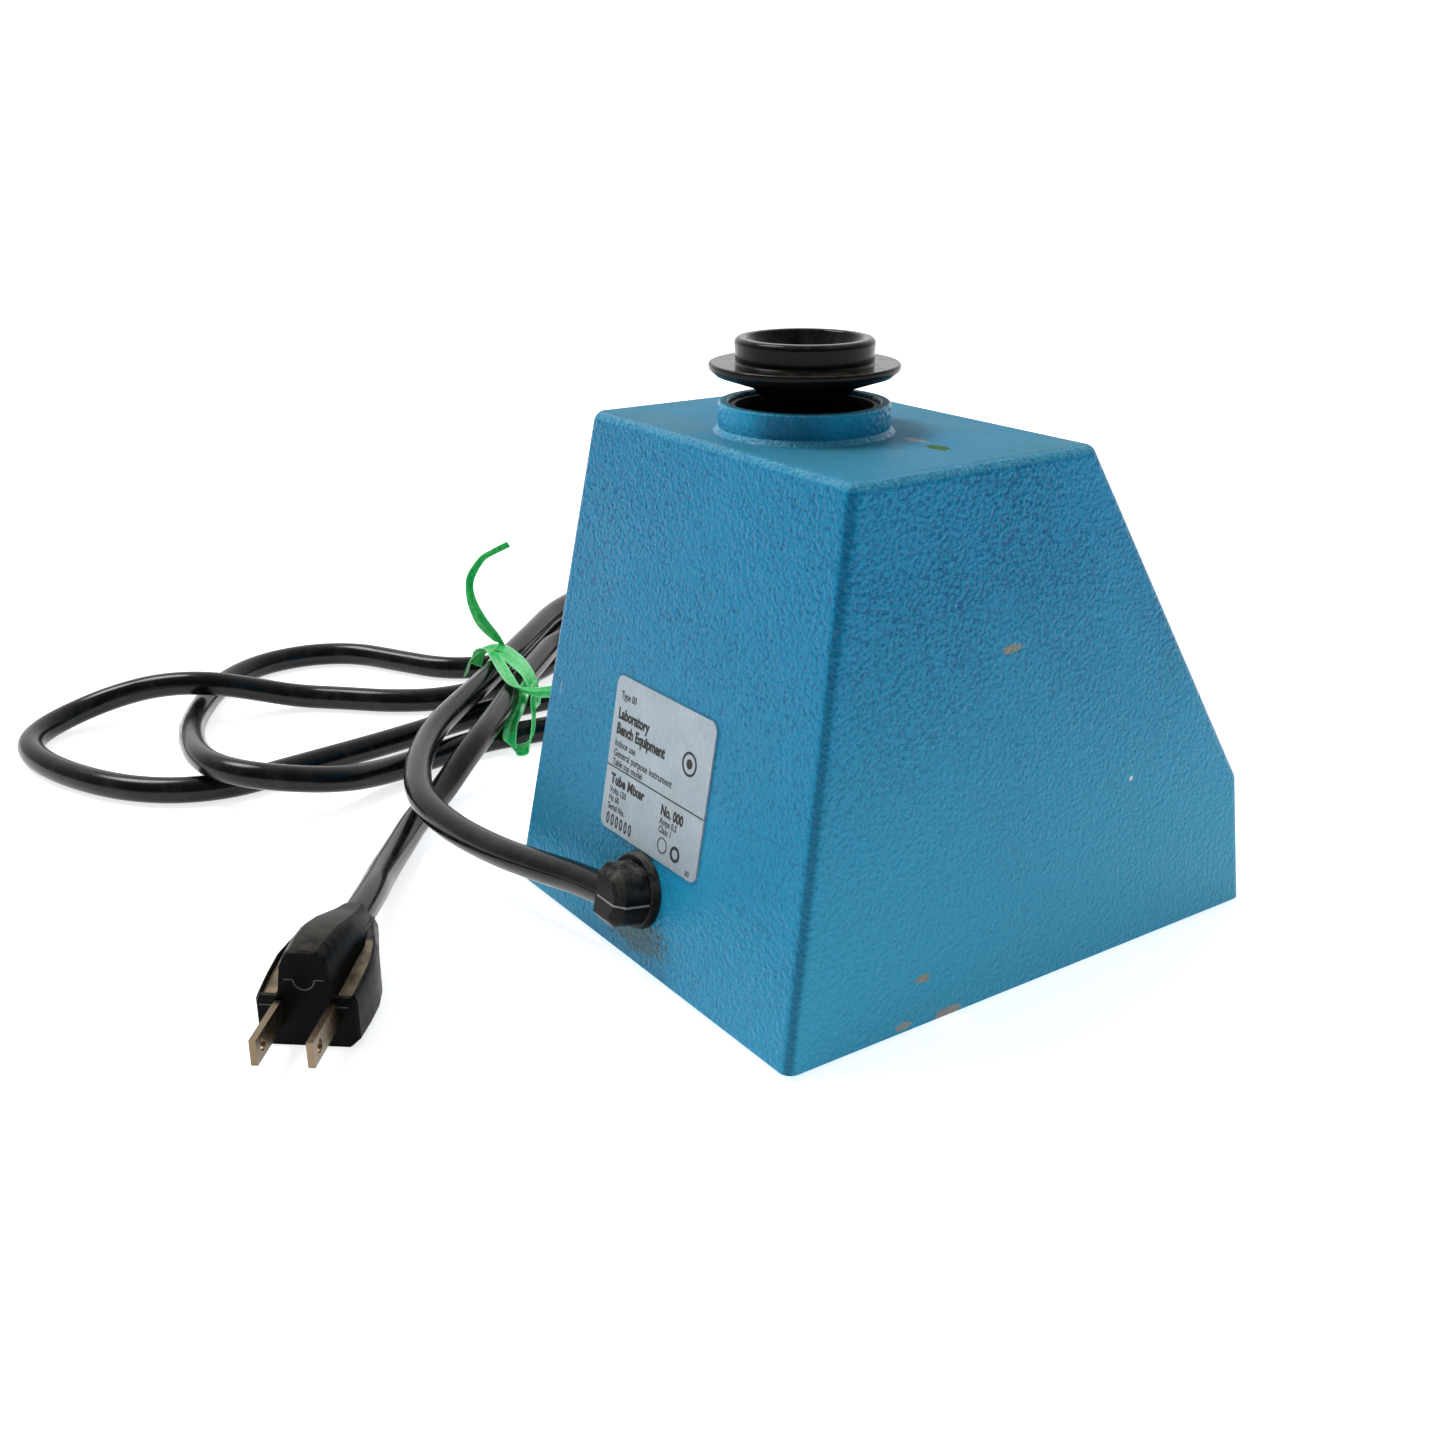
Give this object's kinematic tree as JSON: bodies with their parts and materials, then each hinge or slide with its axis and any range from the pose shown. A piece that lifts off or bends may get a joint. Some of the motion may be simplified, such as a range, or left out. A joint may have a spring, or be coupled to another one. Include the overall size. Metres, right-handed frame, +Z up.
{
  "type": "vortex mixer",
  "caption": "Bench vortex mixer: tapered painted housing, raised collar, rubber cup head, front speed knob and rocker, eccentric motor drive, tied mains cord with plug",
  "frame": {"origin": "on the bench under the middle of the housing's footprint", "axes": "+Z up, +Y towards the rear panel where the cord leaves, +X towards the side the cord lies on; the front slope with the controls faces -Y"},
  "size_m": [0.3434, 0.3187, 0.1498],
  "materials": {
    "paint": "hammertone enamel",
    "black_rubber": "satin",
    "black_plastic": "moulded",
    "label_metal": "brushed foil",
    "zinc_steel": "zinc plated",
    "ground_steel": "ground",
    "lamination": "varnished stack",
    "bronze": "sintered",
    "winding": "enamelled wire",
    "cast_aluminium": "cast",
    "nylon": "moulded",
    "board": "solder mask",
    "wire_jacket": "extruded",
    "green_tie": "ribbon",
    "blade_metal": "stamped"
  },
  "bodies": {
    "base": {"housing": "paint", "collar": "paint", "collar_liner": "black_plastic", "nameplate": "label_metal", "base_plate": "zinc_steel", "base_screws": "zinc_steel", "motor_standoffs": "zinc_steel", "standoff_screws": "zinc_steel", "motor_grommets": "black_rubber", "lower_spacers": "zinc_steel", "upper_spacers": "zinc_steel", "motor_bolts": "zinc_steel", "lower_bracket": "zinc_steel", "upper_bracket": "zinc_steel", "lower_bearing": "bronze", "upper_bearing": "bronze", "stator_core": "lamination", "coil_bobbin": "nylon", "motor_winding": "winding", "thrust_guide": "nylon", "press_spring": "ground_steel", "touch_switch": "black_plastic", "switch_bracket": "zinc_steel", "dial_plate": "label_metal", "speed_pot": "black_plastic", "pot_nut": "zinc_steel", "rocker_bezel": "black_plastic", "control_board": "board", "board_standoffs": "nylon", "triac_heatsink": "cast_aluminium", "film_capacitor": "nylon", "terminal_block": "nylon", "mains_wires": "wire_jacket", "motor_wires": "wire_jacket", "bushing_upper": "black_plastic", "bushing_lower": "black_plastic", "cord_lead_in": "wire_jacket", "cord_hank": "wire_jacket", "cord_plug_lead": "wire_jacket", "cord_tie": "green_tie", "plug_body": "wire_jacket", "plug_blades": "blade_metal", "foot_rear_left": "black_rubber", "foot_rear_right": "black_rubber", "foot_front_left": "black_rubber", "foot_front_right": "black_rubber"},
    "thrust": {"thrust_button": "nylon"},
    "rotor": {"rotor_core": "lamination", "motor_shaft": "ground_steel", "cooling_fan": "nylon", "eccentric_hub": "cast_aluminium", "counterweight": "zinc_steel", "crank_pin": "ground_steel"},
    "cup": {"cup_head": "black_rubber", "cup_core": "cast_aluminium", "crank_bearing": "ground_steel"},
    "knob": {"speed_knob": "black_plastic", "pot_shaft": "cast_aluminium"},
    "rocker": {"mode_rocker": "black_plastic"},
    "lever": {"switch_lever": "ground_steel"}
  },
  "joints": [
    {"name": "head_press", "type": "slide", "parent": "base", "child": "thrust", "axis": [0, 0, -1], "range_m": [0, 0.002], "stiffness_N_per_m": 4000, "springref_m": -0.006, "deforming": ["press_spring"]},
    {"name": "rotor_spin", "type": "hinge", "parent": "thrust", "child": "rotor", "pos_m": [0, 0.027, 0.075], "axis": [0, 0, 1], "continuous": true},
    {"name": "cup_spin", "type": "hinge", "parent": "rotor", "child": "cup", "pos_m": [0.00205, 0.02557, 0.132], "axis": [0, 0, 1], "continuous": true},
    {"name": "knob_turn", "type": "hinge", "parent": "base", "child": "knob", "pos_m": [0.024, -0.05515, 0.0655], "axis": [0, -0.853, 0.522], "range_deg": [-140, 140]},
    {"name": "rocker_tilt", "type": "hinge", "parent": "base", "child": "rocker", "pos_m": [-0.03, -0.05387, 0.06472], "axis": [1, 0, 0], "range_deg": [-10, 10]},
    {"name": "lever_swing", "type": "hinge", "parent": "base", "child": "lever", "pos_m": [0.031, 0.027, 0.0282], "axis": [0, -1, 0], "range_deg": [0, 6]}
  ],
  "couplings": [
    {"joint": "cup_spin", "follows": "rotor_spin", "ratio": -1},
    {"joint": "lever_swing", "follows": "head_press", "rad_per_m": 47.6}
  ]
}
